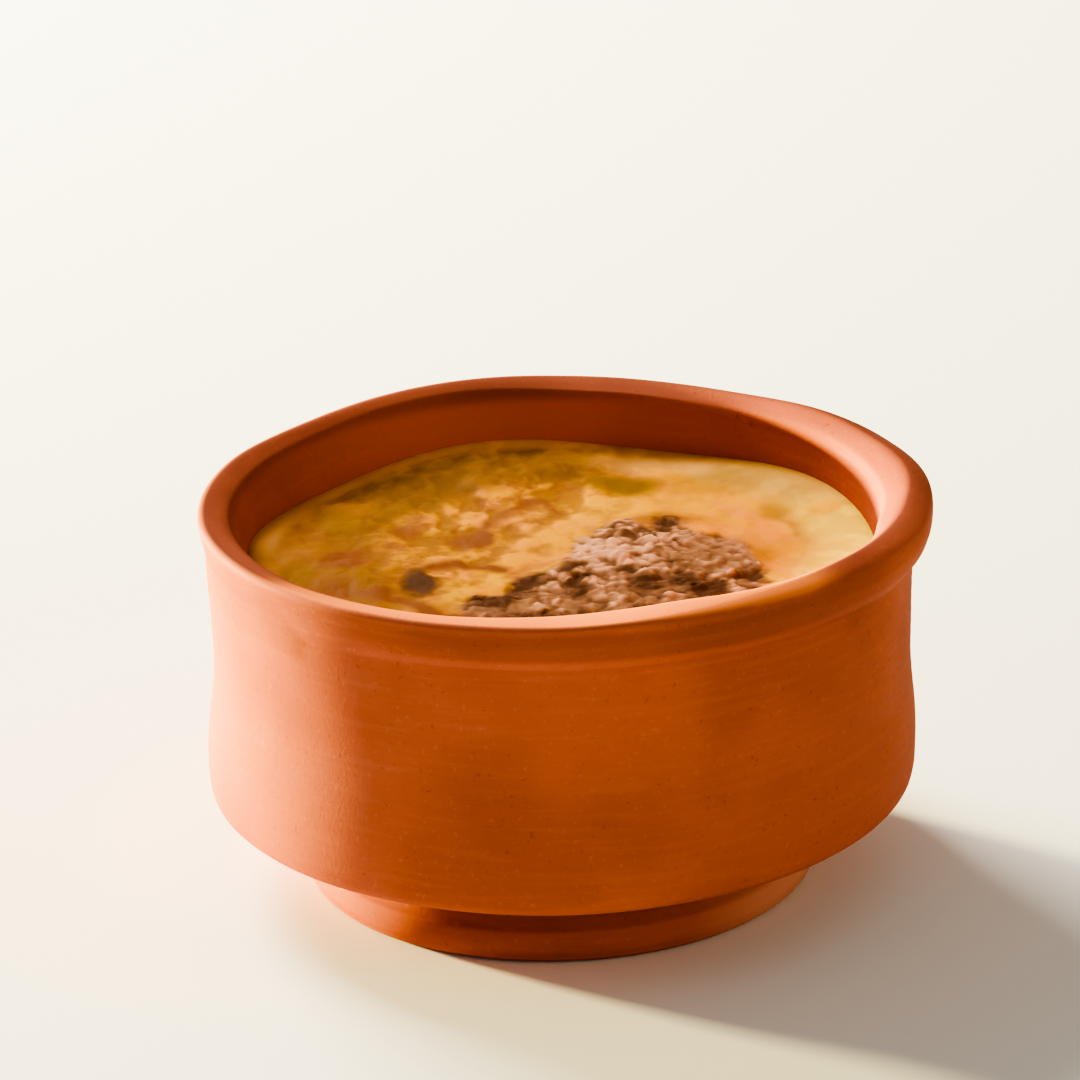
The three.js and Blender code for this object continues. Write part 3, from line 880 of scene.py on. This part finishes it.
def make_light(name, bearing, elevation, distance, size, power, color):
    """An area light that faces the middle of the pot. power is its light on a surface there."""
    a, e = math.radians(bearing), math.radians(elevation)
    way = Vector((math.cos(a) * math.cos(e), math.sin(a) * math.cos(e), math.sin(e)))
    data = bpy.data.lights.new(name, "AREA")
    data.shape = "RECTANGLE"
    data.size, data.size_y = size
    data.energy = power * math.pi**2 * distance**2
    data.color = color
    light = bpy.data.objects.new(name, data)
    light.location = Vector((0, 0, 0.5 * HEIGHT * MM)) + way * distance
    light.rotation_euler = way.to_track_quat("Z", "Y").to_euler()
    bpy.context.scene.collection.objects.link(light)


CAMERA_ELEVATION = 22.38
CAMERA_ROLL = 1.63
CAMERA_DISTANCE = 0.9
SENSOR = 36
FOCAL_PIXELS = 5412.6
IMAGE = 1080
TARGET = Vector((-1.29, 0, 0.5 * HEIGHT)) * MM  # this point of the pot ...
TARGET_PIXEL = (559.41, 676.83)  # ... is seen here, from the top left


def make_camera():
    e, roll = math.radians(CAMERA_ELEVATION), math.radians(CAMERA_ROLL)
    forward = Vector((0, math.cos(e), -math.sin(e)))
    level, rise = Vector((1, 0, 0)), Vector((0, math.sin(e), math.cos(e)))
    right = level * math.cos(roll) - rise * math.sin(roll)
    up = level * math.sin(roll) + rise * math.cos(roll)
    data = bpy.data.cameras.new("camera")
    data.sensor_width = SENSOR
    data.lens = FOCAL_PIXELS / IMAGE * SENSOR
    camera = bpy.data.objects.new("camera", data)
    camera.location = TARGET - forward * CAMERA_DISTANCE
    # Where the target is seen gives the direction to it in the camera's own axes.
    across = TARGET_PIXEL[0] - IMAGE / 2
    along_up = IMAGE / 2 - TARGET_PIXEL[1]
    seen = Vector((across, along_up, -FOCAL_PIXELS))
    turn = seen.rotation_difference(Vector((0, 0, -1)))
    basis = Matrix((right, up, -forward)).transposed()
    camera.rotation_euler = (basis @ turn.to_matrix()).to_euler()
    bpy.context.scene.collection.objects.link(camera)
    bpy.context.scene.camera = camera


def make_world(color, strength):
    world = bpy.data.worlds.new("studio")
    world.use_nodes = True
    world.node_tree.nodes["Background"].inputs["Color"].default_value = (*color, 1)
    world.node_tree.nodes["Background"].inputs["Strength"].default_value = strength
    bpy.context.scene.world = world


make_floor()
make_world(WORLD_COLOR, WORLD_STRENGTH)
for light in LIGHTS:
    make_light(*light)
make_camera()
bpy.context.scene.view_settings.view_transform = "AgX"
bpy.context.scene.view_settings.look = "AgX - Very High Contrast"
